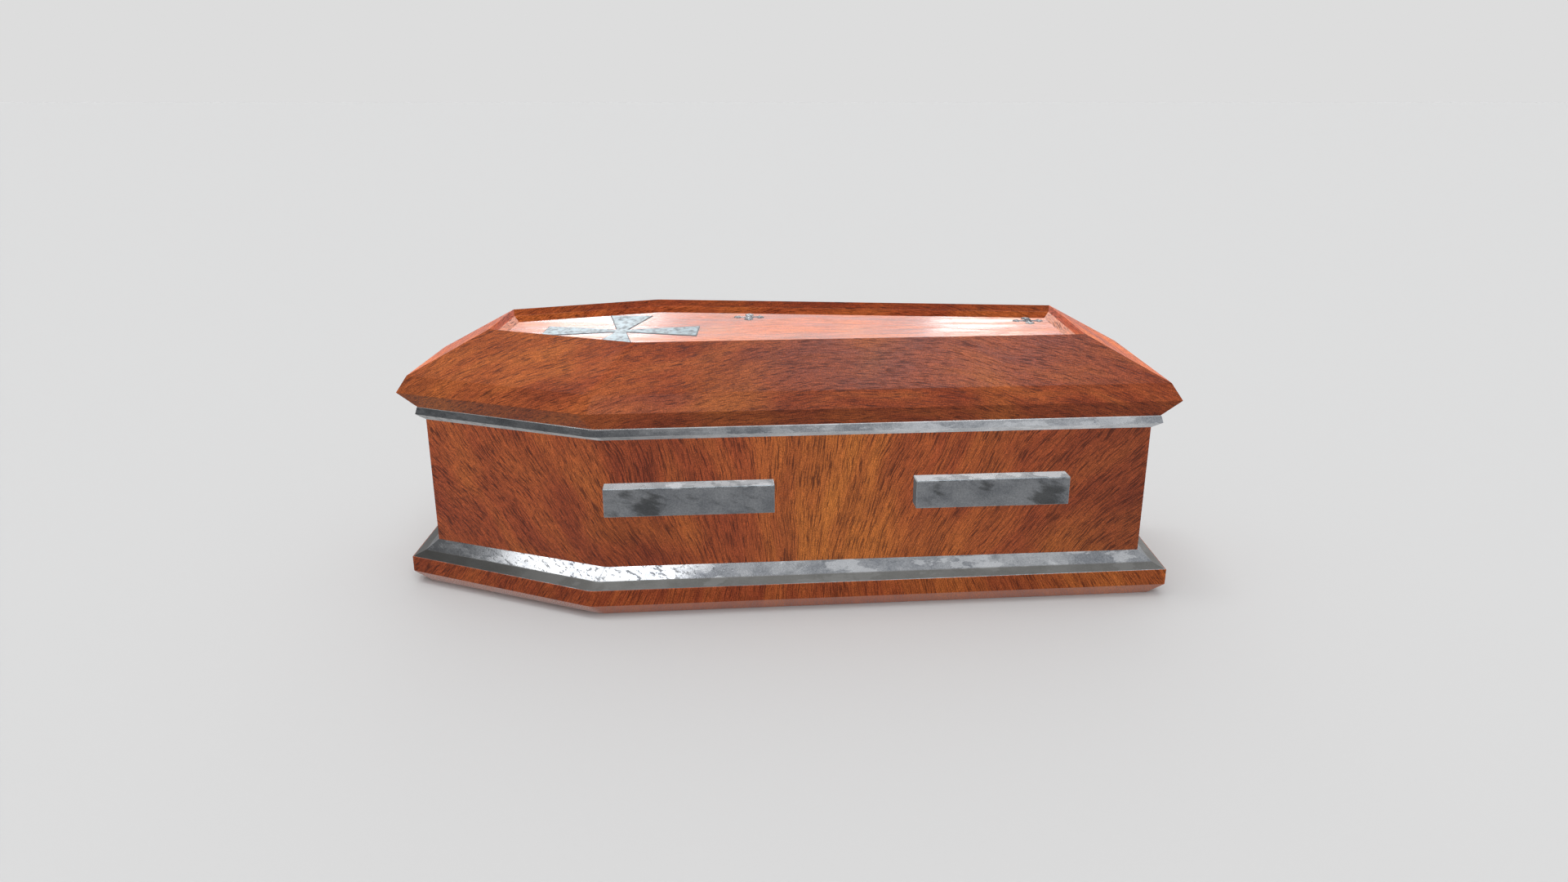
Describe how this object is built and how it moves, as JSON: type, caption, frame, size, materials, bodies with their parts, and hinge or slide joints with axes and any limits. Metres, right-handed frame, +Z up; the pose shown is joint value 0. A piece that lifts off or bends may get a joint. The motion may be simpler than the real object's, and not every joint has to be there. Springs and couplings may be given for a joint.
{
  "type": "coffin",
  "caption": "Six-sided wooden coffin with a lift-off hipped lid, sunken lid panel with a flared cross, grey metal mouldings and bar handles on the long sides.",
  "frame": {"origin": "on the ground under the middle of the base", "axes": "+X along the length from the head end to the foot end, +Y to the back long side, +Z up"},
  "size_m": [2.002, 0.8038, 0.686],
  "materials": {
    "wood": "varnished reddish brown hardwood",
    "metal": "mottled grey, worn"
  },
  "bodies": {
    "root": {"floor_board": "wood", "wall_head": "wood", "wall_foot": "wood", "wall_front": "wood", "wall_back": "wood", "plinth_head": "wood", "plinth_foot": "wood", "plinth_front": "wood", "plinth_back": "wood", "base_moulding_head": "metal", "base_moulding_foot": "metal", "base_moulding_front": "metal", "base_moulding_back": "metal", "rim_strip_head": "metal", "rim_strip_foot": "metal", "rim_strip_front": "metal", "rim_strip_back": "metal", "handle_front_1": "metal", "handle_front_2": "metal", "handle_back_1": "metal", "handle_back_2": "metal", "lid_frame_head": "wood", "lid_frame_foot": "wood", "lid_frame_front": "wood", "lid_frame_back": "wood", "lid_panel": "wood", "cross": "metal", "lid_ornament_front_1": "metal", "lid_ornament_front_2": "metal", "lid_ornament_back_1": "metal", "lid_ornament_back_2": "metal"}
  },
  "joints": []
}
